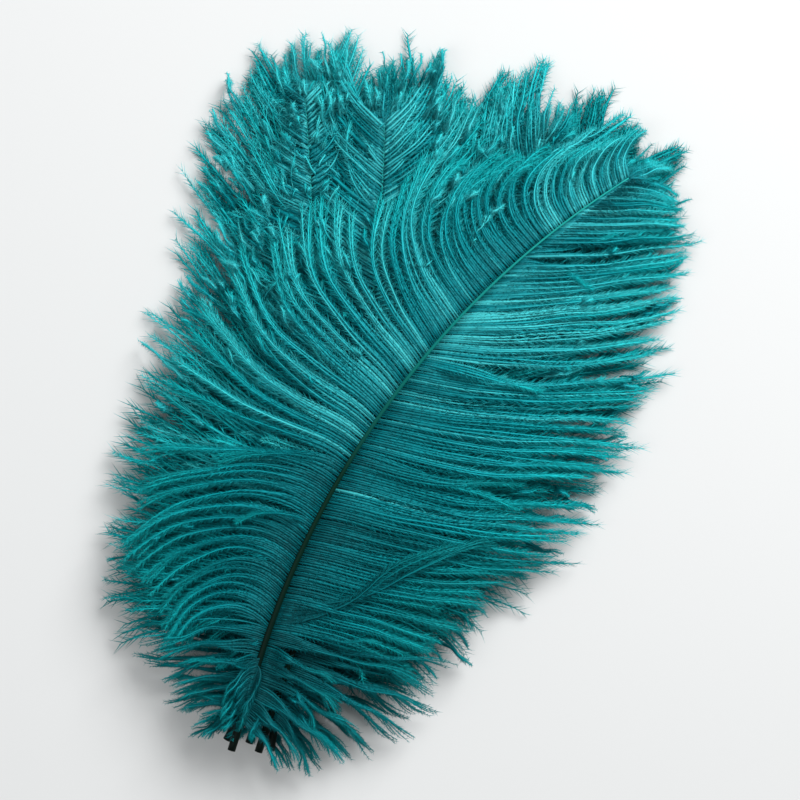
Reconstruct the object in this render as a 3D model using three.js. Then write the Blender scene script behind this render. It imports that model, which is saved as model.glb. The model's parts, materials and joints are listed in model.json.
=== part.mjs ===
// Six dyed ostrich plumes lying in a loose stack, fanned out from their cut quills.
//
// Millimetres, +Z up. The origin is on the table, on the upright axis about which the plumes
// fan out; +Y runs up the fan, from the quills to the tips, and +X is to the right.
// Each plume is a quill that thins into a curved shaft, a vane of barbs on either side,
// a tuft beyond the shaft's end, and the looser down at the foot of the vane.
// A plume lies in a layer whose height depends only on the distance from the fan's axis,
// so that one can turn about that axis, over and under the others, without meeting them.
import * as THREE from 'three';

// ---- Driving dimensions, mm and degrees ----
const QUILL_DIAMETER = 4.2;      // bare quill at its cut end
const TIP_DIAMETER = 0.9;        // the shaft where the last barbs leave it
const SHAFT_TAPER = 1.3;         // over 1, the shaft thins early and stays thin
const BORE_DIAMETER = 2.3;       // the quill is a tube
const BORE_DEPTH = 20;
const BORE_POINT = 3;            // length of the bore's closed, pointed end
const STRAIGHT_LENGTH = 25;      // of the shaft beyond the fan's axis, before it curves
const SHAFT_STEP = 18;           // distance between the rings of the shaft's skin
const SHAFT_SIDES = 8;

const LAYER_GAP = 0.6;           // between one plume and the next above
const LAYER_LOFT = 2.2;          // extra height of a layer midway along, where vanes are fluffiest
const LOFT_SPAN = 380;           // distance from the axis at which that extra height is gone
const EDGE_THICKNESS = 0.2;      // thickness of a vane's edge, as a share of its layer

const VANE_GAP = 0.4;            // between the shaft and the barbs' roots
const VANE_STEPS = 14;           // pieces that a vane's curve is made of, root to tip
const DOWN_STEPS = 4;
const TUFT_STEPS = 4;
const BARB_ROWS = 3;             // pieces from the barbs' roots to their ends
const BLOCK_GAP = 0.5;           // along the shaft, between down, vane and tuft
const DOWN_START = -9;           // along the shaft from the fan's axis
const VANE_START = 42;
const TUFT_LENGTH = 30;          // how far the tuft reaches beyond the shaft
const TUFT_ROOT = 0.3;           // radius of the tuft's inner end

// Angle between the shaft's forward direction and the barbs
const LAST_DOWN_ANGLE = 142;     // at the foot of the down, where it sweeps back
const VANE_FOOT_ANGLE = 86;      // where the down ends and the vane starts
const VANE_END_ANGLE = 36;       // beside the shaft's end
const TUFT_SPLIT_ANGLE = 4;      // between the vane's last barbs and the tuft

// One plume each, from the bottom layer to the top one. foot is where the shaft crosses the X axis,
// heading its direction there, clockwise from +Y, and bend how much further it turns to the right
// by its end. behind is the quill's length on the near side of the axis. left and right are the
// barbs' lengths at equal steps up the vane; down holds those of the down at its foot.
const PLUMES = [
  { name: 'plume_1', foot: 3.6, heading: 20, bend: -6, length: 312, behind: 25,
    left: [74, 90, 90, 74, 34], right: [70, 94, 94, 76, 34], down: [33, 62] },
  { name: 'plume_2', foot: -4.7, heading: 29, bend: 10, length: 338, behind: 24,
    left: [70, 88, 88, 70, 32], right: [76, 98, 88, 60, 26], down: [32, 64] },
  { name: 'plume_3', foot: -3.6, heading: 22, bend: 13, length: 330, behind: 22,
    left: [74, 90, 88, 72, 32], right: [74, 96, 88, 66, 30], down: [34, 62] },
  { name: 'plume_4', foot: 11.4, heading: 9, bend: -14, length: 316, behind: 25,
    left: [84, 92, 86, 74, 34], right: [70, 90, 88, 70, 32], down: [32, 60] },
  { name: 'plume_5', foot: 9.9, heading: 19, bend: -18, length: 308, behind: 26,
    left: [80, 92, 88, 72, 34], right: [70, 90, 88, 70, 32], down: [34, 60] },
  { name: 'plume_6', foot: -5, heading: 17.3, bend: 40.3, length: 345, behind: 24,
    left: [82, 96, 94, 78, 34], right: [88, 126, 120, 82, 32], down: [36, 68] },
];

const SHAFT_COLOUR = 0x04382a;
const VANE_COLOURS = [0x046c6f, 0x057477, 0x067a7c, 0x077f80, 0x088584, 0x0a8a89];
const DOWN_COLOUR = 0x035457;

// ---- Layers ----

const quillLayer = QUILL_DIAMETER + LAYER_GAP;

// Height from the underside of one layer to that of the next, at a distance from the fan's axis
function layerPitch(distance) {
  return quillLayer + LAYER_LOFT * Math.sin(Math.PI * distance / LOFT_SPAN) ** 2;
}

// ---- The line of a plume's shaft, in the plume's own frame: its foot at 0, +Y its first heading ----

function shaftPoint(plume, along) {
  const curved = along - STRAIGHT_LENGTH;
  const turn = THREE.MathUtils.degToRad(plume.bend);
  const radius = (plume.length - STRAIGHT_LENGTH) / turn;
  const angle = Math.max(curved, 0) / radius;
  return {
    x: radius * (1 - Math.cos(angle)),
    y: Math.min(along, STRAIGHT_LENGTH) + radius * Math.sin(angle),
    angle,
  };
}

function shaftRadius(plume, along) {
  const run = THREE.MathUtils.clamp(along / plume.length, 0, 1);
  return TIP_DIAMETER / 2 + (QUILL_DIAMETER - TIP_DIAMETER) / 2 * (1 - run) ** SHAFT_TAPER;
}

// The direction that lies `degrees` round from the shaft's forward direction; side is 1 right, -1 left
function barbDirection(angle, degrees, side) {
  const total = angle + side * THREE.MathUtils.degToRad(degrees);
  return { x: Math.sin(total), y: Math.cos(total) };
}

// How far a point of the plume's own frame is from the fan's axis
function axisDistance(plume, x, y) {
  const heading = THREE.MathUtils.degToRad(plume.heading);
  const east = plume.foot + x * Math.cos(heading) + y * Math.sin(heading);
  const north = y * Math.cos(heading) - x * Math.sin(heading);
  return Math.hypot(east, north);
}

// ---- Closed solids ----

// A box's vertices are moved by place(across, out, up), each from 0 to 1
function mappedBox(steps, rows, place) {
  const geometry = new THREE.BoxGeometry(1, 1, 1, steps, rows, 1);
  const position = geometry.attributes.position;
  for (let i = 0; i < position.count; i += 1) {
    const point = place(position.getX(i) + 0.5, position.getY(i) + 0.5, position.getZ(i) + 0.5);
    position.setXYZ(i, point.x, point.y, point.z);
  }
  geometry.computeVertexNormals();
  return geometry;
}

// A point of a plume's soft layer: out from 0 at the shaft to 1 at the edge, up from 0 to 1.
// The layer's underside is level with its neighbours', and its top comes down towards the edge.
function layerPoint(plume, layer, x, y, out, up) {
  const pitch = layerPitch(axisDistance(plume, x, y));
  const thickness = (pitch - LAYER_GAP) * THREE.MathUtils.lerp(1, EDGE_THICKNESS, out);
  return { x, y, z: layer * pitch + up * thickness };
}

function shaftGeometry(plume) {
  const bore = BORE_DIAMETER / 2;
  const start = -plume.behind;
  const profile = [
    new THREE.Vector2(0, start + BORE_DEPTH),
    new THREE.Vector2(bore, start + BORE_DEPTH - BORE_POINT),
    new THREE.Vector2(bore, start),
  ];
  const rings = Math.round((plume.length + plume.behind) / SHAFT_STEP);
  for (let i = 0; i <= rings; i += 1) {
    const along = THREE.MathUtils.lerp(start, plume.length, i / rings);
    profile.push(new THREE.Vector2(shaftRadius(plume, along), along));
  }
  profile.push(new THREE.Vector2(0, plume.length));
  return new THREE.LatheGeometry(profile, SHAFT_SIDES);
}

// The straight lathe is bent along the shaft's line and laid in the middle of its layer
function bendShaft(geometry, plume, layer) {
  const position = geometry.attributes.position;
  for (let i = 0; i < position.count; i += 1) {
    const centre = shaftPoint(plume, position.getY(i));
    const right = barbDirection(centre.angle, 90, 1);
    const sideways = position.getX(i);
    const pitch = layerPitch(axisDistance(plume, centre.x, centre.y));
    const middle = layer * pitch + (pitch - LAYER_GAP) / 2;
    position.setXYZ(
      i,
      centre.x + right.x * sideways,
      centre.y + right.y * sideways,
      middle + position.getZ(i),
    );
  }
  geometry.computeVertexNormals();
  return geometry;
}

// A slab of barbs on one side of the shaft, between two places along it
function barbSlab(plume, layer, side, range, sweep, lengths, steps) {
  const spans = lengths.length - 1;
  return mappedBox(steps, BARB_ROWS, (across, leftward, up) => {
    const out = side > 0 ? 1 - leftward : leftward;
    const along = THREE.MathUtils.lerp(range[0], range[1], across);
    const step = Math.min(Math.floor(across * spans), spans - 1);
    const length = THREE.MathUtils.lerp(lengths[step], lengths[step + 1], across * spans - step);
    const root = shaftPoint(plume, along);
    const right = barbDirection(root.angle, 90, side);
    const way = barbDirection(root.angle, THREE.MathUtils.lerp(sweep[0], sweep[1], across), side);
    const clear = shaftRadius(plume, along) + VANE_GAP;
    return layerPoint(
      plume, layer,
      root.x + right.x * clear + way.x * length * out,
      root.y + right.y * clear + way.y * length * out,
      out, up,
    );
  });
}

// The fan of barbs beyond the shaft's end
function tuftSlab(plume, layer) {
  const end = shaftPoint(plume, plume.length);
  const forward = barbDirection(end.angle, 0, 1);
  const halfAngle = VANE_END_ANGLE - TUFT_SPLIT_ANGLE;
  return mappedBox(BARB_ROWS, TUFT_STEPS, (across, leftward, up) => {
    const angle = THREE.MathUtils.lerp(halfAngle, -halfAngle, leftward);
    const way = barbDirection(end.angle, angle, 1);
    const reach = TUFT_ROOT + across * TUFT_LENGTH;
    return layerPoint(
      plume, layer,
      end.x + forward.x * BLOCK_GAP + way.x * reach,
      end.y + forward.y * BLOCK_GAP + way.y * reach,
      across, up,
    );
  });
}

// ---- Assembly ----

function namedMesh(name, geometry, colour, roughness) {
  const material = new THREE.MeshStandardMaterial({ color: colour, roughness, metalness: 0 });
  const mesh = new THREE.Mesh(geometry, material);
  mesh.name = name;
  return mesh;
}

function makePlume(plume, layer) {
  const group = new THREE.Group();
  group.position.set(plume.foot, 0, 0);
  group.rotation.z = -THREE.MathUtils.degToRad(plume.heading);
  const vaneColour = VANE_COLOURS[layer];
  const shaft = bendShaft(shaftGeometry(plume), plume, layer);
  group.add(namedMesh(`${plume.name}_shaft`, shaft, SHAFT_COLOUR, 0.35));
  for (const [label, side, lengths] of [['left', -1, plume.left], ['right', 1, plume.right]]) {
    const vaneRange = [VANE_START + BLOCK_GAP, plume.length];
    const vaneSweep = [VANE_FOOT_ANGLE, VANE_END_ANGLE];
    const vane = barbSlab(plume, layer, side, vaneRange, vaneSweep, lengths, VANE_STEPS);
    group.add(namedMesh(`${plume.name}_vane_${label}`, vane, vaneColour, 0.8));
    const downRange = [DOWN_START, VANE_START];
    const downSweep = [LAST_DOWN_ANGLE, VANE_FOOT_ANGLE];
    const down = barbSlab(plume, layer, side, downRange, downSweep, plume.down, DOWN_STEPS);
    group.add(namedMesh(`${plume.name}_down_${label}`, down, DOWN_COLOUR, 0.9));
  }
  group.add(namedMesh(`${plume.name}_tip_tuft`, tuftSlab(plume, layer), vaneColour, 0.8));
  return group;
}

const fan = new THREE.Group();
PLUMES.forEach((plume, layer) => fan.add(makePlume(plume, layer)));

export default fan;
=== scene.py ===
import json
import math

import bmesh
import bpy
import numpy as np
from mathutils import Matrix, Vector


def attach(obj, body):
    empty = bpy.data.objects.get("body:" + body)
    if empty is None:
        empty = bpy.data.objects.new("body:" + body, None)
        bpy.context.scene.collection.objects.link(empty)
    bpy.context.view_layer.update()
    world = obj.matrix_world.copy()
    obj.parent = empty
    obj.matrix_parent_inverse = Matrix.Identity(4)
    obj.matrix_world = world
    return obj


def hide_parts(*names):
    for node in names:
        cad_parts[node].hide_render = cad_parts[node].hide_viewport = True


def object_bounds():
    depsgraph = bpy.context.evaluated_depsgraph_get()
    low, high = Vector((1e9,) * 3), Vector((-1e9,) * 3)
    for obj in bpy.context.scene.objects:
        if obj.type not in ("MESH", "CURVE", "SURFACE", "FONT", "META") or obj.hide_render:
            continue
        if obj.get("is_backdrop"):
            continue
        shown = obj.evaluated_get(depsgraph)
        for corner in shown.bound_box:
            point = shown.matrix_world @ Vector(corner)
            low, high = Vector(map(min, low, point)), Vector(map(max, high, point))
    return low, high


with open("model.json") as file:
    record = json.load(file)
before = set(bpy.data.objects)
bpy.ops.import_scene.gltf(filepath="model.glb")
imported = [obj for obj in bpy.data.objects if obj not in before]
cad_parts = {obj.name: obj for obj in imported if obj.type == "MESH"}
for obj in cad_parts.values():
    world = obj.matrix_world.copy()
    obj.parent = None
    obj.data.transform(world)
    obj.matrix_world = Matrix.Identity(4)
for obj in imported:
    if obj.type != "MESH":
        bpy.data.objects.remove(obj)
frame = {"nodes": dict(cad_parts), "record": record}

cad_low, cad_high = (list(corner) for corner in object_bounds())
MM = 0.001

# ---- The design's values that the plumes here follow ----
QUILL = 4.2 * MM             # across a bare quill
TIP = 0.9 * MM               # across the shaft's end
TAPER = 1.3                  # how fast the shaft thins: 1 would be evenly
BORE = 2.3 * MM              # across the quill's open bore
BORE_DEPTH = 20 * MM
STRAIGHT = 25 * MM           # of the shaft beyond the fan's axis, before it curves
LAYER_GAP = 0.6 * MM
LAYER_LOFT = 2.2 * MM        # more from layer to layer in the middle of the stack
LOFT_SPAN = 380 * MM         # from the fan's axis, over which it rises and falls
DOWN_START = -9              # mm along the shaft from the fan's axis, as is the next
VANE_START = 42
PLUMES = 6

# ---- Camera, floor and light ----

def linear(hex_colour):
    """An sRGB hex colour as linear red, green, blue and alpha."""
    channels = [int(hex_colour[i:i + 2], 16) / 255 for i in (1, 3, 5)]
    return [c / 12.92 if c <= 0.04045 else ((c + 0.055) / 1.055) ** 2.4 for c in channels] + [1.0]


def add_node(nodes, kind, settings=(), links=()):
    """Adds a node, sets its inputs or properties by name, and links outputs to its inputs."""
    node = nodes.new(kind)
    for name, value in dict(settings).items():
        if name in node.inputs:
            node.inputs[name].default_value = value
        else:
            setattr(node, name, value)
    for name, output in dict(links).items():
        node.id_data.links.new(output, node.inputs[name])
    return node


def make_camera():
    """From straight above, with the stack filling most of a square picture."""
    field = (cad_high[1] - cad_low[1]) * 1.071
    aside, upward = -3 * MM, 7 * MM
    lens, sensor = 85, 36
    middle = [(cad_low[i] + cad_high[i]) / 2 for i in range(3)]
    camera = bpy.data.objects.new("camera", bpy.data.cameras.new("camera"))
    camera.data.lens, camera.data.sensor_width = lens, sensor
    camera.location = (middle[0] + aside, middle[1] + upward, middle[2] + field * lens / sensor)
    bpy.context.scene.collection.objects.link(camera)
    bpy.context.scene.camera = camera


def make_light(name, place, aim, size, watts):
    light = bpy.data.objects.new(name, bpy.data.lights.new(name, "AREA"))
    light.data.shape, light.data.size, light.data.energy = "DISK", size, watts
    light.location = place
    light.rotation_euler = (Vector(aim) - Vector(place)).to_track_quat("-Z", "Y").to_euler()
    bpy.context.scene.collection.objects.link(light)


def make_studio():
    """One large softbox at the upper right, a weak one at the left, and an even, pale surround."""
    aim = ((cad_low[0] + cad_high[0]) / 2, (cad_low[1] + cad_high[1]) / 2, 0)
    make_light("key_softbox", (1.16, 1.49, 1.44), aim, 1.5, 74.0)
    make_light("fill_softbox", (-0.7, -0.2, 1.3), aim, 1.2, 6.5)
    world = bpy.data.worlds.new("studio")
    world.use_nodes = True
    world.node_tree.nodes["Background"].inputs["Color"].default_value = linear("#f4f7f8")
    world.node_tree.nodes["Background"].inputs["Strength"].default_value = 0.30
    bpy.context.scene.world = world
    bpy.context.scene.view_settings.view_transform = "Standard"


def make_floor():
    half_width = 6                             # metres
    mesh = bpy.data.meshes.new("floor")
    sheet = bmesh.new()
    bmesh.ops.create_grid(sheet, x_segments=1, y_segments=1, size=half_width)
    sheet.to_mesh(mesh)
    sheet.free()
    floor = bpy.data.objects.new("floor", mesh)
    bpy.context.scene.collection.objects.link(floor)
    paper = bpy.data.materials.new("white_paper_sweep")
    paper.use_nodes = True
    shader = paper.node_tree.nodes["Principled BSDF"]
    shader.inputs["Base Color"].default_value = linear("#d5d6d6")
    shader.inputs["Roughness"].default_value = 0.9
    shader.inputs["Specular IOR Level"].default_value = 0.2
    mesh.materials.append(paper)
    floor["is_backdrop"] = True


# ---- Materials ----
MIX_A, MIX_B, MIX_RESULT = 6, 7, 2     # a Mix node's sockets for colours


def barb_material(name, root, middle, end):
    """Acid-dyed feather barbs: dull, with a faint sheen from their fuzz. Each barb is a little
    darker at the root and lighter at the thin end, and has a tone of its own plus painted light:
    its ridge lighter and its hollows darker, painted shade near the vane's base, and a pale teal
    painted highlight where the tone runs high. Fine streaks run along it where its barbules cling
    together. The map OFBake holds the place along the barb, from 0 to 1, and the tone."""
    material = bpy.data.materials.new(name)
    material.use_nodes = True
    nodes, links = material.node_tree.nodes, material.node_tree.links
    shader = nodes["Principled BSDF"]
    shader.inputs["Roughness"].default_value = 0.55
    shader.inputs["Specular IOR Level"].default_value = 0.10
    shader.inputs["Sheen Weight"].default_value = 0.03
    shader.inputs["Sheen Roughness"].default_value = 0.35
    shader.inputs["Sheen Tint"].default_value = linear("#3fd8d2")
    place = add_node(nodes, "ShaderNodeUVMap", {"uv_map": "OFBake"})
    split = add_node(nodes, "ShaderNodeSeparateXYZ", links={"Vector": place.outputs["UV"]})
    along = add_node(nodes, "ShaderNodeValToRGB", links={"Fac": split.outputs["X"]})
    ramp = along.color_ramp
    ramp.elements[0].color, ramp.elements[1].color = linear(root), linear(end)
    ramp.elements.new(0.5).color = linear(middle)
    stretch = add_node(nodes, "ShaderNodeMapping", {"Scale": (30.0, 120.0, 1.0)},
                       {"Vector": place.outputs["UV"]})
    streaks = add_node(nodes, "ShaderNodeTexNoise", {"Scale": 1.0, "Detail": 1.0},
                       {"Vector": stretch.outputs["Vector"]})
    tone = add_node(nodes, "ShaderNodeMapRange", {"To Min": 0.25, "To Max": 1.75},
                    {"Value": split.outputs["Y"]})
    streak = add_node(nodes, "ShaderNodeMapRange",
                      {"From Min": 0.3, "From Max": 0.7, "To Min": 0.75, "To Max": 1.25},
                      {"Value": streaks.outputs["Fac"]})
    both = add_node(nodes, "ShaderNodeMath", {"operation": "MULTIPLY"})
    links.new(tone.outputs["Result"], both.inputs[0])
    links.new(streak.outputs["Result"], both.inputs[1])
    # Painted light rides in the tone that scales the colour here: a lighter ridge, darker hollows
    # and painted shade near the vane's base.
    dyed = add_node(nodes, "ShaderNodeVectorMath", {"operation": "SCALE"},
                    {"Vector": along.outputs["Color"], "Scale": both.outputs["Value"]})
    # Painted highlight: where the tone is high, most on the ridges, the colour is mixed toward a
    # pale teal that stands in for the barbs' gloss.
    glint = add_node(nodes, "ShaderNodeMapRange",
                     {"interpolation_type": "SMOOTHSTEP", "From Min": 0.52, "From Max": 0.9,
                      "To Max": 0.75}, {"Value": split.outputs["Y"]})
    crest = add_node(nodes, "ShaderNodeMix", {"data_type": "RGBA"})
    links.new(glint.outputs["Result"], crest.inputs["Factor"])
    links.new(dyed.outputs["Vector"], crest.inputs[MIX_A])
    crest.inputs[MIX_B].default_value = linear("#4fcdd0")
    links.new(crest.outputs[MIX_RESULT], shader.inputs["Base Color"])
    return material


def shaft_material():
    """Keratin of the shaft, dyed through: nearly black green where it is thick, and as pale as
    the barbs where it is thin, with a low polish and fine ridges. The map OFBake holds the place
    along the shaft, from 0 to 1, and a place around it."""
    material = bpy.data.materials.new("dyed_keratin_shaft")
    material.use_nodes = True
    nodes, links = material.node_tree.nodes, material.node_tree.links
    shader = nodes["Principled BSDF"]
    shader.inputs["Roughness"].default_value = 0.5
    shader.inputs["Specular IOR Level"].default_value = 0.10
    place = add_node(nodes, "ShaderNodeUVMap", {"uv_map": "OFBake"})
    split = add_node(nodes, "ShaderNodeSeparateXYZ", links={"Vector": place.outputs["UV"]})
    along = add_node(nodes, "ShaderNodeValToRGB", links={"Fac": split.outputs["X"]})
    ramp = along.color_ramp
    ramp.elements[0].color, ramp.elements[1].color = linear("#010a07"), linear("#1a9c96")
    for place_along, colour in ((0.12, "#00140e"), (0.42, "#00271c"), (0.66, "#05706a")):
        ramp.elements.new(place_along).color = linear(colour)
    ridges = add_node(nodes, "ShaderNodeTexNoise", {"Scale": 60.0, "Detail": 2.0})
    squeeze = add_node(nodes, "ShaderNodeMapping", {"Scale": (2.0, 1.0, 1.0)},
                       {"Vector": place.outputs["UV"]})
    links.new(squeeze.outputs["Vector"], ridges.inputs["Vector"])
    bump = add_node(nodes, "ShaderNodeBump", {"Strength": 0.25, "Distance": 0.0002},
                    {"Height": ridges.outputs["Fac"]})
    links.new(along.outputs["Color"], shader.inputs["Base Color"])
    links.new(bump.outputs["Normal"], shader.inputs["Normal"])
    return material


# ---- Where a plume's shaft runs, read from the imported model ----

class Line:
    """A shaft's line: straight, then an arc. Distances are from where it passes the fan's axis."""

    def __init__(self, number):
        self.number, self.layer = number, number - 1
        mount = next(m for m in frame["record"]["mounts"] if m["name"] == f"quill_end_{number}")
        forward = -Vector(mount["axis"]).to_2d()
        right = Vector((forward.y, -forward.x))
        rim = Vector(mount["pos_m"]).to_2d()
        quill_end = rim - right * (QUILL + BORE) / 4
        self.heading = math.atan2(forward.x, forward.y)
        self.behind = -quill_end.y / forward.y
        self.foot = quill_end + forward * self.behind
        corners = coordinates(frame["nodes"][f"plume_{number}_shaft"].data)
        away = np.hypot(corners[:, 0] - quill_end.x, corners[:, 1] - quill_end.y)
        tip_corners = corners[away > away.max() - 0.8 * MM]
        tip = Vector(tip_corners.mean(axis=0)[:2])
        chord = tip - self.foot - forward * STRAIGHT
        ahead, across = chord.dot(forward), chord.dot(right)
        self.radius = (ahead ** 2 + across ** 2) / (2 * across)
        self.length = STRAIGHT + self.radius * 2 * math.atan2(across, ahead)

    def at(self, along):
        """Points x, y and headings, for an array of distances along the shaft."""
        along = np.asarray(along, float)
        angle = np.maximum(along - STRAIGHT, 0) / self.radius
        across = self.radius * (1 - np.cos(angle))
        ahead = np.minimum(along, STRAIGHT) + self.radius * np.sin(angle)
        sin, cos = math.sin(self.heading), math.cos(self.heading)
        x = self.foot.x + ahead * sin + across * cos
        y = self.foot.y + ahead * cos - across * sin
        return x, y, self.heading + angle

    def height(self, along):
        """Height of the shaft's middle."""
        x, y, _ = self.at(along)
        pitch = layer_pitch(np.hypot(x, y))
        return self.layer * pitch + (pitch - LAYER_GAP) / 2

    def half_width(self, along):
        run = np.clip(np.asarray(along) / self.length, 0, 1)
        return TIP / 2 + (QUILL - TIP) / 2 * (1 - run) ** TAPER


def coordinates(mesh):
    values = np.empty(len(mesh.vertices) * 3)
    mesh.vertices.foreach_get("co", values)
    return values.reshape(-1, 3)


def layer_pitch(distance):
    """Height from one plume's layer to the next, at a distance from the fan's axis."""
    return QUILL + LAYER_GAP + LAYER_LOFT * np.sin(np.pi * distance / LOFT_SPAN) ** 2


def smooth(low, high, value):
    """0 below low, 1 above high, and an even curve from one to the other."""
    run = np.clip((value - low) / (high - low), 0, 1)
    return run * run * (3 - 2 * run)


# ---- Straight barbs, the patterns that all the others are copied from ----
BARB = 90 * MM               # a pattern's length; each barb is stretched to its own
PATHS = 14                   # straight pieces that a barb's curve is made of


def barb_pattern(name, web, barbules, reach, thick, seed, point=0.0):
    """A barb along +Y: a low roof-shaped web on the ramus, and barbules swept forward off it. The
    last barbules are shorter than the first by the share called point."""
    rng = np.random.default_rng(seed)
    form = bmesh.new()
    upright = (Matrix.Translation((0, BARB / 2, 0)) @ Matrix.Rotation(math.pi, 4, "Y")
               @ Matrix.Rotation(-math.pi / 2, 4, "X"))
    bmesh.ops.create_cone(form, cap_ends=True, segments=3, radius1=1, radius2=1, depth=BARB,
                          matrix=upright)
    for step in range(1, PATHS):
        everything = form.verts[:] + form.edges[:] + form.faces[:]
        bmesh.ops.bisect_plane(form, geom=everything, plane_co=(0, BARB * step / PATHS, 0),
                               plane_no=(0, 1, 0))
    for corner in form.verts:
        run = corner.co.y / BARB
        wide = web_width(run) * web
        corner.co.x *= (wide / 2 + 0.10 * MM) * rng.uniform(0.82, 1.18)
        corner.co.z *= (0.16 * wide + 0.12 * MM) * (0.2 + 0.8 * smooth(0.1, 0.45, run))
    for i in range(barbules):
        for side in (-1, 1):
            run = ((i + rng.uniform(0.1, 0.9)) / barbules) ** 0.7
            size = reach * (0.3 + 0.7 * min(run / 0.35, 1)) * (1 - point * run)
            size *= rng.uniform(0.6, 1.3)
            sweep = math.radians(rng.uniform(28, 60) - 18 * run)
            lift = math.radians(rng.uniform(-30, 24)) * min(0.3 + run / 0.35, 1)
            aim = Vector((side * math.sin(sweep) * math.cos(lift), math.cos(sweep) * math.cos(lift),
                          math.sin(lift)))
            turn = aim.to_track_quat("Z", "Y").to_matrix().to_4x4()
            start = Vector((side * web_width(run) * web * rng.uniform(0.1, 0.42), run * BARB, 0))
            place = Matrix.Translation(start + aim * size / 2) @ turn
            bmesh.ops.create_cone(form, cap_ends=True, segments=3, radius1=thick, radius2=0,
                                  depth=size, matrix=place)
    bmesh.ops.remove_doubles(form, verts=form.verts, dist=1e-7)
    bmesh.ops.triangulate(form, faces=form.faces)
    mesh = bpy.data.meshes.new(name)
    form.to_mesh(mesh)
    form.free()
    return mesh


def web_width(run):
    """The web's width along a barb, as a share of its width near the middle."""
    return float(np.interp(run, (0, 0.06, 0.25, 0.5, 0.9, 1), (0.7, 1.3, 1.2, 0.8, 0.6, 0.05)))


def barb_patterns(name, webs, barbules, reach, thick, seed, point=0.0):
    """A few patterns that differ in their web and at random. Widths and lengths are in mm."""
    return [barb_pattern(f"{name}_barb_{k}", web * MM, barbules, reach * MM, thick * MM, seed + k,
                         point) for k, web in enumerate(webs)]


# ---- How the barbs of a plume lie ----
# A station is a distance along the shaft in mm, the barbs' length there in mm, and their angles
# out from the shaft's forward direction at the root, at 0.2, 0.5 and 0.8 of their length and at
# the end. Over 90 they sweep back towards the quill; below 0 they curl over to the other side.
TURNS = (0, 0.2, 0.5, 0.8, 1)

TOP_LEFT = [
    (42, 60, 62, 84, 132, 164, 172),
    (60, 70, 62, 86, 132, 162, 170),
    (80, 90, 68, 94, 128, 156, 164),
    (105, 106, 75, 99, 127, 150, 158),
    (128, 106, 80, 103, 116, 124, 126),
    (146, 104, 82, 100, 92, 74, 66),
    (180, 112, 75, 85, 75, 52, 37),
    (217, 104, 74, 72, 51, 26, 13),
    (250, 88, 88, 81, 46, 1, -24),
    (280, 68, 95, 89, 49, -1, -23),
    (310, 48, 88, 68, 33, 3, -9),
    (345, 34, 70, 56, 30, 8, -6),
]
TOP_RIGHT = [
    (42, 70, 77, 84, 92, 96, 98),
    (60, 82, 77, 82, 84, 84, 84),
    (80, 100, 76, 80, 76, 71, 68),
    (105, 128, 73, 79, 77, 70, 68),
    (140, 145, 72, 75, 66, 61, 60),
    (170, 148, 66, 64, 59, 55, 54),
    (200, 138, 61, 61, 51, 40, 38),
    (230, 118, 45, 43, 39, 37, 33),
    (270, 90, 40, 40, 36, 30, 20),
    (310, 56, 34, 34, 36, 38, 38),
    (345, 30, 20, 28, 42, 58, 70),
]


def plain_stations(lengths, reach):
    """Stations of a plume whose barbs all curve forward, with lengths at equal steps up its vane,
    which reaches to the shaft's end."""
    angles = [
        (84, 94, 104, 110, 112),
        (78, 84, 82, 76, 70),
        (72, 70, 60, 50, 42),
        (64, 60, 48, 36, 28),
        (48, 42, 30, 20, 12),
    ]
    places = np.linspace(VANE_START, reach / MM, len(angles))
    return [(place, length, *turns) for place, length, turns in zip(places, lengths, angles)]


def down_stations(side, lengths):
    """Stations of the down, which lies in rays round the quill."""
    left = [(126, 148, 158, 166, 170), (104, 112, 118, 120, 122), (96, 106, 112, 116, 118),
            (86, 98, 108, 114, 116)]
    right = [(112, 128, 138, 144, 148), (98, 108, 116, 122, 126), (90, 92, 96, 100, 104),
             (84, 84, 84, 84, 86)]
    angles = left if side < 0 else right
    places = (DOWN_START, 0, 18, VANE_START)
    return [(place, length, *turns) for place, length, turns in zip(places, lengths, angles)]


def tuft_stations(reach, length):
    """Stations of the last barbs, which fan out beyond the shaft's end."""
    end = reach / MM
    return [(end - 10, length * 0.9, 34, 32, 28, 25, 22), (end, length, 4, 4, 3, 2, 2)]


def drift(rng, count, reach):
    """Random values, with a spread of 1, that change slowly from one barb to the next."""
    kernel = np.exp(-0.5 * (np.arange(-3 * reach, 3 * reach + 1) / reach) ** 2)
    values = np.convolve(rng.normal(0, 1, count + 6 * reach), kernel, "valid")
    return values / np.linalg.norm(kernel)


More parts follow.
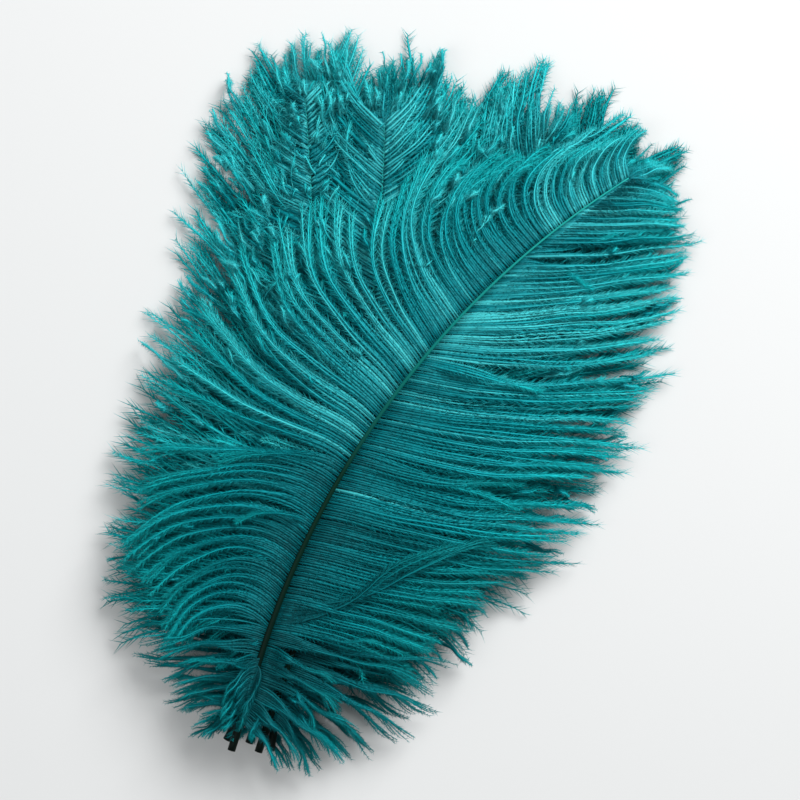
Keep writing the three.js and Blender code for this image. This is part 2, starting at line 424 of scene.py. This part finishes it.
class Barbs:
    """The paths of one row of barbs, first in plan and then, once all plumes are laid, in height.

    side is -1 for the left of the shaft and 1 for the right, and spacing is in mm. Barbs cling in
    locks of about lock, drawn together by the share clump from the place early along them, where
    those at a lock's edges are shorter by the share point. stray says how far they wander from the
    stations' course. The share short of the locks is shorter and curls by curl degrees or so. tone
    is their mean tone, and rise and loft are the mm that all of them and that single locks lie
    higher. cover is 0 where they start on the shaft's side and 1 where they start on its top. form
    names their patterns."""

    def __init__(self, line, side, stations, spacing, seed, lock=5, clump=0.6, early=0.1, stray=1.0,
                 tone=0.5, rise=0.0, short=0.0, curl=22, cover=0.0, loft=2.4, point=0.12,
                 form="barb"):
        rng = np.random.default_rng(seed)
        table = np.array(stations, float)
        self.line, self.form = line, form
        self.rise, self.stray, self.cover = rise, stray, cover
        count = max(int((table[-1, 0] - table[0, 0]) / spacing), 6)
        place = np.linspace(table[0, 0], table[-1, 0], count)
        place = place + rng.uniform(-0.3, 0.3, count) * spacing
        self.place = place * MM
        length = np.interp(place, table[:, 0], table[:, 1])
        angles = np.stack([np.interp(place, table[:, 0], table[:, k]) for k in range(2, 7)], axis=1)
        sizes = rng.integers(lock - 1, lock + 2, count)
        self.lock = np.repeat(np.arange(count), sizes)[:count]
        locks = self.lock.max() + 1
        first = np.searchsorted(self.lock, np.arange(locks))
        size = np.bincount(self.lock)
        self.within = (np.arange(count) - first[self.lock] + 0.5) / size[self.lock] * 2 - 1
        curled = rng.uniform(0, 1, locks) < short
        shorter = np.where(curled, rng.uniform(0.38, 0.8, locks), 1)
        length *= 1 + 0.05 * drift(rng, count, 6) + rng.normal(0, 0.03, locks)[self.lock]
        length *= (1 + rng.normal(0, 0.05, count) - point * self.within ** 2) * shorter[self.lock]
        self.length = length * MM
        self.lift = loft * (rng.uniform(0, 1, locks) + 2.2 * (1 - shorter))[self.lock]
        self.ripple = rng.uniform(0, 2 * np.pi, locks)[self.lock]
        shade = 0.05 * drift(rng, count, 8) + rng.normal(0, 0.05, locks)[self.lock]
        # Painted shade: barbs near the vane's base are darker, for the light that falls off away
        # from the key at the upper right.
        most_base_shade, up_to = (0.30, 170 * MM) if side < 0 else (0.40, 220 * MM)
        painted_base_shade = most_base_shade * (1 - smooth(20 * MM, up_to, self.place))
        self.tone = np.clip(tone + shade - painted_base_shade + rng.normal(0, 0.07, count), 0.21, 0.77)
        self.roll = rng.normal(0, 0.35, locks)[self.lock] + rng.normal(0, 0.3, count)
        steps = np.linspace(0, 1, PATHS + 1)
        self.steps = steps
        middles = (steps[1:] + steps[:-1]) / 2
        turn = np.stack([np.interp(middles, TURNS, row) for row in angles])
        bend = np.where(curled, rng.normal(0, curl, locks), rng.normal(0, 2.0, locks))[self.lock]
        lean = 3 * drift(rng, count, 9) + rng.normal(0, 1.6, count)
        turn += (lean * stray)[:, None] * smooth(0, 0.7, middles) + bend[:, None] * middles
        for waves, swing in ((1.2, 5.0), (2.5, 3.5)):
            phase = (1.3 * drift(rng, count, 8) + rng.normal(0, 0.5, locks)[self.lock])[:, None]
            wave = np.sin(2 * np.pi * waves * middles + phase + rng.normal(0, 0.3, (count, 1)))
            turn += swing * stray * wave * smooth(0.05, 0.6, middles)
        x, y, heading = line.at(self.place)
        way = heading[:, None] + side * np.radians(turn)
        stride = self.length[:, None] / PATHS
        edge = line.half_width(self.place) * (0.8 - 0.8 * cover) * side
        x, y = x + edge * np.cos(heading), y - edge * np.sin(heading)
        self.loose = table.shape[1] > 7                # its stations also say where it starts
        if self.loose:
            low, high, away = (np.interp(place, table[:, 0], table[:, k]) for k in (7, 8, 9))
            out = (low + (high - low) * rng.uniform(0, 1, locks)[self.lock]) * MM
            away = heading + side * np.radians(away)
            x, y = x + np.sin(away) * out, y + np.cos(away) * out
        x, y = x[:, None], y[:, None]
        x = np.concatenate([x, x + np.cumsum(np.sin(way) * stride, axis=1)], axis=1)
        y = np.concatenate([y, y + np.cumsum(np.cos(way) * stride, axis=1)], axis=1)
        pull = clump * (smooth(early, early + 0.45, steps) - 0.3 * smooth(0.75, 1, steps))
        x += (lock_mean(x, self.lock) - x) * pull
        y += (lock_mean(y, self.lock) - y) * pull
        self.x = kept_near(x, cad_low[0], cad_high[0])
        self.y = kept_near(y, cad_low[1], cad_high[1])

    def settle(self, heights):
        """Gives each point its height: the shaft's at the root, then that of what it lies on."""
        crown, swell, sag = 3.0, 1.3, 2.0              # mm, of a lock's middle, a ripple and an end
        lowest, highest = 1.5 * MM, cad_high[2] + 4 * MM
        steps = self.steps
        lying = heights.under(self.line.layer, self.x, self.y)
        above = (0.5 + 0.6 * self.cover) * self.line.half_width(self.place)
        root = lying[:, :1] if self.loose else (self.line.height(self.place) + above)[:, None]
        resting = smooth(0.04, 0.5, steps)
        outer = smooth(0.1, 0.45, steps)
        crest = (1 - self.within[:, None] ** 2) * crown * outer
        loft = (self.lift[:, None] + self.rise) * smooth(0.05, 0.4, steps)
        ripple = swell * self.stray * np.sin(2 * np.pi * 0.9 * steps + self.ripple[:, None]) * outer
        droop = sag * steps ** 3
        self.z = root * (1 - resting) + lying * resting + (crest + loft + ripple - droop) * MM
        self.z = np.clip(self.z, lowest, highest)


def kept_near(values, low, high):
    """Draws in what reaches far past the model's box, as a barb's curl would."""
    slack, most = 5 * MM, 9 * MM
    over = np.maximum(values - high - slack, 0) - np.maximum(low - slack - values, 0)
    return values - over + np.sign(over) * most * (1 - np.exp(-np.abs(over) / most))


def lock_mean(values, lock):
    """The mean path of each barb's lock."""
    total = np.zeros((lock.max() + 1, values.shape[1]))
    np.add.at(total, lock, values)
    return (total / np.bincount(lock)[:, None])[lock]


class Heights:
    """How high each plume lies on those below it: a grid of the ground that each plume covers."""
    CELL = 4 * MM
    MARGIN = 30 * MM
    FULL = 0.55              # path points to a cell, from which the ground counts as covered
    LAYER = 0.92             # of the layers' pitch, for each plume that lies beneath
    OWN = 0.32               # of the pitch, up to the middle of a plume's own barbs

    def __init__(self, rows):
        self.low = np.array(cad_low[:2]) - self.MARGIN
        high = np.array(cad_high[:2]) + self.MARGIN
        self.shape = tuple(np.ceil((high - self.low) / self.CELL).astype(int))
        self.cover = [np.zeros(self.shape) for _ in range(PLUMES)]
        for row in rows:
            i, j = self.cells(row.x[:, 1:], row.y[:, 1:])
            np.add.at(self.cover[row.line.layer], (i.ravel(), j.ravel()), 1.0)
        for layer, grid in enumerate(self.cover):
            for _ in range(3):
                grid = blurred(grid, 2)
            self.cover[layer] = np.clip(grid / self.FULL, 0, 1)

    def cells(self, x, y):
        i = np.clip(((x - self.low[0]) / self.CELL).astype(int), 0, self.shape[0] - 1)
        j = np.clip(((y - self.low[1]) / self.CELL).astype(int), 0, self.shape[1] - 1)
        return i, j

    def sample(self, grid, x, y):
        """Bilinear reading of a grid."""
        a = np.clip((x - self.low[0]) / self.CELL - 0.5, 0, self.shape[0] - 1.001)
        b = np.clip((y - self.low[1]) / self.CELL - 0.5, 0, self.shape[1] - 1.001)
        i, j = a.astype(int), b.astype(int)
        a, b = a - i, b - j
        return (grid[i, j] * (1 - a) * (1 - b) + grid[i + 1, j] * a * (1 - b)
                + grid[i, j + 1] * (1 - a) * b + grid[i + 1, j + 1] * a * b)

    def under(self, layer, x, y):
        """Height of the middle of a plume's barbs, over what the plumes below cover there."""
        pitch = layer_pitch(np.hypot(x, y))
        covered = sum((self.sample(grid, x, y) for grid in self.cover[:layer]), np.zeros_like(x))
        return pitch * (covered * self.LAYER + self.OWN)


def blurred(grid, reach):
    """Each cell's mean with the cells up to reach away."""
    for axis in (0, 1):
        total = sum(np.roll(grid, shift, axis) for shift in range(-reach, reach + 1))
        grid = total / (2 * reach + 1)
    return grid


PAINTED_RIDGE_LIGHT = 0.2             # the most that a barb's ridge is made lighter and its hollow darker: painted light and shade
SIDE_TONE = 0.004            # a little more to each mm sideways, so that faces have area on the map


def inside(run):
    """A place along a barb or shaft, kept a little off the ends of the map."""
    return np.clip(run, 0, 1) * 0.98 + 0.01


def lay_barbs(name, rows, patterns, material):
    """One piece: a copy of a pattern for each barb, each copy moved onto its barb's path."""
    lowest = 0.1 * MM                                  # what would sink lies on the table
    form = bmesh.new()
    moved, tones = [], []
    laid = 0
    for row in rows:
        kinds = patterns[row.form]
        shapes = [coordinates(pattern) for pattern in kinds]
        path = np.stack([row.x, row.y, row.z], axis=-1)
        along = np.diff(path, axis=1)
        along = np.concatenate([along, along[:, -1:]], axis=1)
        along[:, 1:-1] = (path[:, 2:] - path[:, :-2]) / 2
        along /= np.linalg.norm(along, axis=-1, keepdims=True)
        for barb in range(len(path)):
            kind = laid % len(kinds)
            laid += 1
            form.from_mesh(kinds[kind])
            placed = on_path(shapes[kind], path[barb], along[barb], row.roll[barb])
            placed[:, 2] = np.maximum(placed[:, 2], lowest)
            moved.append(placed)
            run = shapes[kind][:, 1] / BARB
            # Painted light and shade: the top of each barb's web gets a higher tone, its underside
            # a lower one.
            ridge = shapes[kind][:, 2] / MM * (0.06 + 0.28 * smooth(0.1, 0.45, run))
            ridge = PAINTED_RIDGE_LIGHT * np.tanh(ridge / PAINTED_RIDGE_LIGHT) + SIDE_TONE * shapes[kind][:, 0] / MM
            tones.append(np.stack([inside(run), row.tone[barb] + ridge], axis=1))
    mesh = bpy.data.meshes.new(name)
    form.to_mesh(mesh)
    form.free()
    mesh.vertices.foreach_set("co", np.concatenate(moved).ravel())
    corner = np.empty(len(mesh.loops), int)
    mesh.loops.foreach_get("vertex_index", corner)
    mesh.uv_layers.new(name="OFBake").data.foreach_set("uv", np.concatenate(tones)[corner].ravel())
    mesh.polygons.foreach_set("use_smooth", np.ones(len(mesh.polygons), bool))
    mesh.materials.append(material)
    mesh.update()
    piece = bpy.data.objects.new(name, mesh)
    bpy.context.scene.collection.objects.link(piece)
    return piece


def on_path(shape, path, along, roll):
    """The pattern's points, moved onto a path."""
    run = shape[:, 1] / BARB * PATHS
    step = np.clip(run.astype(int), 0, PATHS - 1)
    part = (run - step)[:, None]
    spine = path[step] * (1 - part) + path[step + 1] * part
    ahead = along[step] * (1 - part) + along[step + 1] * part
    ahead /= np.linalg.norm(ahead, axis=1, keepdims=True)
    right = np.cross(ahead, (0, 0, 1))
    right /= np.linalg.norm(right, axis=1, keepdims=True)
    up = np.cross(right, ahead)
    across, above = shape[:, :1], shape[:, 2:]
    roll = roll * smooth(0.05, 0.4, shape[:, 1:2] / BARB)
    sin, cos = np.sin(roll), np.cos(roll)
    return spine + right * (across * cos - above * sin) + up * (across * sin + above * cos)


# ---- Shafts ----

def make_shaft(line, material):
    """A quill with its open bore, thinning into the shaft, moved onto the plume's line."""
    rings, flatness = 90, 0.94
    whole = line.length + line.behind
    form = bmesh.new()
    upright = Matrix.Translation((0, whole / 2, 0)) @ Matrix.Rotation(-math.pi / 2, 4, "X")
    bmesh.ops.create_cone(form, cap_ends=True, segments=16, radius1=1, radius2=1, depth=whole,
                          matrix=upright)
    for step in range(1, rings):
        everything = form.verts[:] + form.edges[:] + form.faces[:]
        bmesh.ops.bisect_plane(form, geom=everything, plane_co=(0, whole * step / rings, 0),
                               plane_no=(0, 1, 0))
    cut = [f for f in form.faces if f.normal.y < -0.9]
    bmesh.ops.inset_region(form, faces=cut, thickness=1 - BORE / QUILL, use_even_offset=False)
    cut = [f for f in form.faces if f.normal.y < -0.9 and len(f.verts) > 4]
    bore = bmesh.ops.extrude_discrete_faces(form, faces=cut)["faces"]
    bottom = list({v for f in bore for v in f.verts})
    bmesh.ops.translate(form, verts=bottom, vec=(0, BORE_DEPTH, 0))
    bmesh.ops.triangulate(form, faces=form.faces)
    mesh = bpy.data.meshes.new(f"plume_{line.number}_shaft_keratin")
    form.to_mesh(mesh)
    form.free()
    shape = coordinates(mesh)
    along = shape[:, 1] - line.behind
    x, y, heading = line.at(along)
    thick = line.half_width(along)
    across = shape[:, 0] * thick
    above = shape[:, 2] * thick * flatness
    place = np.stack([x + np.cos(heading) * across, y - np.sin(heading) * across,
                      line.height(along) + above], axis=1)
    mesh.vertices.foreach_set("co", place.ravel())
    corner = np.empty(len(mesh.loops), int)
    mesh.loops.foreach_get("vertex_index", corner)
    around = 0.5 + 0.45 * (shape[:, 0] + 0.7 * shape[:, 2]) / 1.3
    unrolled = np.stack([inside(shape[:, 1] / whole), around], axis=1)
    mesh.uv_layers.new(name="OFBake").data.foreach_set("uv", unrolled[corner].ravel())
    mesh.polygons.foreach_set("use_smooth", np.ones(len(mesh.polygons), bool))
    mesh.materials.append(material)
    mesh.update()
    piece = bpy.data.objects.new(mesh.name, mesh)
    bpy.context.scene.collection.objects.link(piece)
    return piece


# ---- The stack ----
# By plume: the barbs' lengths in mm at five equal steps up each vane of those below the top one,
# the mm between barbs on the left and right, and the down's lengths at its four stations.
PLAIN_LEFT = {1: (92, 106, 86, 80, 48), 2: (84, 94, 88, 76, 46), 3: (88, 98, 88, 80, 50),
              4: (98, 104, 90, 84, 42), 5: (92, 104, 96, 96, 56)}
PLAIN_RIGHT = {1: (62, 92, 98, 88, 52), 2: (62, 98, 108, 84, 48), 3: (62, 96, 102, 84, 50),
               4: (62, 92, 92, 80, 48), 5: (62, 92, 92, 82, 50)}
SPACING = {1: (1.8, 2.2), 2: (2.4, 1.5), 3: (2.2, 1.7), 4: (1.4, 2.2), 5: (1.7, 2.2)}
DOWN_LEFT = {1: (17, 50, 66, 88), 2: (16, 44, 60, 80), 3: (17, 48, 64, 84), 4: (17, 46, 60, 80),
             5: (17, 44, 58, 76), 6: (16, 34, 46, 60)}
DOWN_RIGHT = {1: (32, 48, 80, 80), 2: (30, 46, 76, 80), 3: (31, 47, 80, 80), 4: (32, 46, 74, 76),
              5: (33, 48, 76, 78), 6: (31, 44, 70, 80)}
# Loose ends: side, from where to where along the shaft in mm, the lowest and highest share of the
# vane's width at which they start, and the mm that they are apart and raised.
LOOSE = {1: [(-1, 44, 140, 0.55, 0.9, 0.6, 3.5), (-1, 140, 300, 0.5, 0.8, 1.0, 3.5),
             (1, 60, 300, 0.5, 0.85, 1.0, 3.5)],
         2: [(1, 60, 305, 0.5, 0.85, 1.0, 3.5), (-1, 240, 305, 0.1, 0.7, 0.8, 3.5)],
         3: [(-1, 220, 308, -0.05, 0.7, 0.8, 3.5), (1, 120, 308, 0.3, 0.85, 1.0, 3.5)],
         4: [(-1, 60, 292, -0.1, 0.78, 0.75, 3.5), (1, 190, 310, -0.1, 0.6, 0.9, 3.5),
             (1, 215, 322, -0.4, 0.15, 0.8, 6.5)],
         5: [(-1, 150, 265, -0.05, 0.8, 0.7, 3.5), (-1, 265, 310, 0.4, 0.8, 0.9, 3.5),
             (1, 215, 312, 0.25, 0.8, 0.9, 3.5), (1, 306, 325, -0.3, 0.3, 0.7, 6.0)],
         6: []}
TONES = {1: 0.58, 2: 0.41, 3: 0.63, 4: 0.65, 5: 0.66, 6: 0.57}

# Stations of three rows of the top plume: two locks of down that lie over its quill, and a long
# dark lock of barbs swept forward over its right vane.
OVER_THE_QUILL = [(-4, 14, 130, 148, 158, 164, 168), (26, 34, 112, 138, 156, 164, 168)]
ACROSS_THE_QUILL = [(-2, 18, 140, 176, 200, 212, 218), (22, 30, 128, 170, 198, 206, 204)]
SWOOSH = [(46, 118, 76, 52, 32, 46, 60), (58, 108, 80, 60, 40, 48, 66)]


def loose_ends(stations, first, last, low, high):
    """Stations of short tufts all over a vane: the ends of barbs that come up between others. They
    start at a low to a high share of the vane's width, and point as its barbs do there. The last
    three columns are the mm from the shaft at which they start, and the way there."""
    table = np.array(stations, float)
    places = np.linspace(first, last, 6)
    length, _, near, middle, far, end = (np.interp(places, table[:, 0], column)
                                         for column in table.T[1:])
    size = np.full(len(places), 25.0)
    return np.stack([places, size, middle, (middle + far) / 2, far, end, end, low * length,
                     high * length, near], axis=1)


def plume_rows(line):
    """Every row of barbs of a plume, by the name of its piece. Each row has a seed of its own."""
    n = line.number
    seed = 10 * n
    tone = TONES[n]
    if n == PLUMES:
        left, right = TOP_LEFT, TOP_RIGHT
        apart = (1.25, 1.25)
        early = (0.12, 0.40)
        vane = dict(lock=4, clump=0.74, stray=0.7, short=0.03, tone=tone)
        tuft = tuft_stations(line.length, 24)
    else:
        left = plain_stations(PLAIN_LEFT[n], line.length)
        right = plain_stations(PLAIN_RIGHT[n], line.length)
        apart = SPACING[n]
        early = (0.6, 0.6)
        vane = dict(lock=3, clump=0.7, stray=1.1, short=0.4 if n < 4 else 0.6, curl=26, tone=tone,
                    cover=1.0, point=0.2)
        tuft = tuft_stations(line.length, 36 if n > 3 else 30)
    fluff = dict(spacing=1.0, lock=7, clump=0.84, early=0.12, stray=2.0, short=0.3,
                 tone=tone - 0.04, rise=0.5, loft=6, point=0.35, form="soft")
    rows = {
        "vane_left": [Barbs(line, -1, left, apart[0], seed, early=early[0], **vane)],
        "vane_right": [Barbs(line, 1, right, apart[1], seed + 1, early=early[1], **vane)],
        "tip_tuft": [Barbs(line, side, tuft, 0.5, seed + 3 + side, lock=4, stray=2, tone=tone)
                     for side in (-1, 1)],
        "down_left": [Barbs(line, -1, down_stations(-1, DOWN_LEFT[n]), seed=seed + 5, **fluff)],
        "down_right": [Barbs(line, 1, down_stations(1, DOWN_RIGHT[n]), seed=seed + 6, **fluff)],
    }
    if n == PLUMES:
        over = dict(rise=4, cover=1.0, point=0.3, form="soft")
        rows["down_right"].append(Barbs(line, 1, SWOOSH, 0.8, 67, clump=0.68, tone=0.32, rise=2.5,
                                        loft=1.2))
        rows["down_left"].append(Barbs(line, -1, OVER_THE_QUILL, 0.8, 199, lock=4, clump=0.8,
                                       stray=3, tone=0.66, **over))
        rows["down_right"].append(Barbs(line, 1, ACROSS_THE_QUILL, 0.9, 201, lock=3, clump=0.7,
                                        stray=4, tone=0.42, **over))
    vanes = {-1: ("vane_left", left), 1: ("vane_right", right)}
    for k, (side, first, last, low, high, spacing, rise) in enumerate(LOOSE[n]):
        part, stations = vanes[side]
        ends = loose_ends(stations, first, last, low, high)
        rows[part].append(Barbs(line, side, ends, spacing, 400 + seed + k, lock=4, clump=0.72,
                                stray=2.6, tone=tone + 0.02, rise=rise, short=0.5, point=0.35,
                                form="loose"))
    if n < PLUMES:
        # Broad barbs fill each lower vane from beneath, dark: their lower tone is painted shade for
        # where they lie under the others.
        for side, (part, stations) in vanes.items():
            under = [(row[0], row[1] * 0.97, *row[2:]) for row in stations]
            rows[part].append(Barbs(line, side, under, 2.6, 300 + seed + side, lock=3, clump=0.15,
                                    stray=0.8, tone=tone - 0.14, rise=-2.5, cover=0.5,
                                    form="broad"))
    return rows


make_camera()
make_studio()
make_floor()
lines = [Line(number) for number in range(1, PLUMES + 1)]
shaft_finish = shaft_material()
vane_finish = barb_material("acid_dyed_ostrich_barbs", "#005f67", "#009099", "#0eb5b9")
down_finish = barb_material("acid_dyed_ostrich_down", "#00575e", "#007f88", "#07a3a8")
broad = barb_patterns("broad", (2.2, 2.6), 19, 8.4, 0.34, 20)
soft = barb_patterns("down", (0.8, 1.0, 0.9), 36, 4.4, 0.19, 30, 0.5)
loose = barb_patterns("loose", (0.8, 1.0, 0.9), 20, 4.6, 0.20, 40, 0.4)
plain = barb_patterns("plain", (1.1, 1.3, 0.9), 34, 6.2, 0.22, 0)
top = barb_patterns("top", (1.2, 1.4, 1.0), 64, 4.8, 0.18, 5)
plain_patterns = {"barb": plain, "soft": soft, "broad": broad, "loose": loose}
top_patterns = dict(plain_patterns, barb=top)
rows = {line.number: plume_rows(line) for line in lines}
heights = Heights([row for parts in rows.values() for group in parts.values() for row in group])

for line in lines:
    body = f"plume_{line.number}"
    shaft = make_shaft(line, shaft_finish)
    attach(shaft, body)
    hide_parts(f"{body}_shaft")
    for part, group in rows[line.number].items():
        for row in group:
            row.settle(heights)
        downy = part.startswith("down")
        patterns = top_patterns if line.number == PLUMES else plain_patterns
        finish = down_finish if downy else vane_finish
        piece = lay_barbs(f"{body}_{part}_barbs", group, patterns, finish)
        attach(piece, body)
        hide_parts(f"{body}_{part}")

for pattern in broad + soft + loose + plain + top:
    bpy.data.meshes.remove(pattern)
